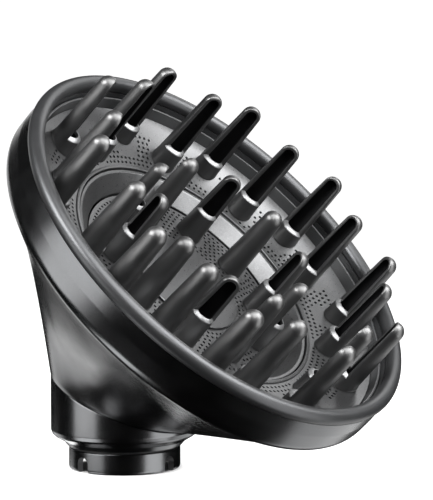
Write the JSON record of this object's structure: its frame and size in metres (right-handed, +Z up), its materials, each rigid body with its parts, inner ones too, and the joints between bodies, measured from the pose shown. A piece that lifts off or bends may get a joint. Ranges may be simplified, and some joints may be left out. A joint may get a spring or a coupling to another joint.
{
  "type": "hair dryer diffuser",
  "caption": "Tilted round diffuser bowl on a vertical neck, with hollow slotted prongs on perforated silver plates and a sliding bowl ring.",
  "frame": {"origin": "centre of the collar's bottom face, where the dryer's barrel goes in", "axes": "+Z up the neck, away from the dryer; the dish leans towards +X, with its axis in the XZ plane, 46.6 degrees from +Z"},
  "size_m": [0.1261, 0.156, 0.1408],
  "materials": {
    "shell_grey": "satin dark grey moulded shell",
    "lip_grey": "soft satin mid grey roll",
    "liner_black": "satin black inner wall",
    "plate_silver": "satin silver paint with a metallic look",
    "prong_black": "matte black, smooth round tips",
    "inner_black": "plain black inner moulding",
    "seal_rubber": "matte black",
    "screw_steel": "plain"
  },
  "bodies": {
    "root": {"collar_ring": "shell_grey", "barrel_seal": "seal_rubber", "neck_sleeve": "shell_grey", "inlet_duct": "inner_black", "funnel_body": "shell_grey", "wall_ring": "liner_black", "outer_plate": "plate_silver", "channel_ring": "plate_silver", "centre_plate": "plate_silver", "centre_cap": "plate_silver", "plate_frame": "inner_black", "air_deflector": "inner_black", "frame_screw_1": "screw_steel", "frame_screw_2": "screw_steel", "frame_screw_3": "screw_steel", "frame_screw_4": "screw_steel", "frame_screw_5": "screw_steel", "outer_prong_01": "prong_black", "outer_prong_02": "prong_black", "outer_prong_03": "prong_black", "outer_prong_04": "prong_black", "outer_prong_05": "prong_black", "outer_prong_06": "prong_black", "outer_prong_07": "prong_black", "outer_prong_08": "prong_black", "outer_prong_09": "prong_black", "outer_prong_10": "prong_black", "outer_prong_11": "prong_black", "outer_prong_12": "prong_black", "outer_prong_13": "prong_black", "outer_prong_14": "prong_black", "outer_prong_15": "prong_black", "outer_prong_16": "prong_black", "outer_prong_17": "prong_black", "outer_prong_18": "prong_black", "outer_prong_19": "prong_black", "outer_prong_20": "prong_black", "inner_prong_01": "prong_black", "inner_prong_02": "prong_black", "inner_prong_03": "prong_black", "inner_prong_04": "prong_black", "inner_prong_05": "prong_black", "inner_prong_06": "prong_black", "inner_prong_07": "prong_black", "inner_prong_08": "prong_black", "inner_prong_09": "prong_black", "inner_prong_10": "prong_black"},
    "bowl": {"bowl_band": "shell_grey", "bowl_liner": "liner_black", "rim_lip": "lip_grey"}
  },
  "joints": [
    {"name": "bowl_slide", "type": "slide", "parent": "root", "child": "bowl", "axis": [0.7266, 0, 0.6871], "range_m": [0, 0.005]}
  ]
}
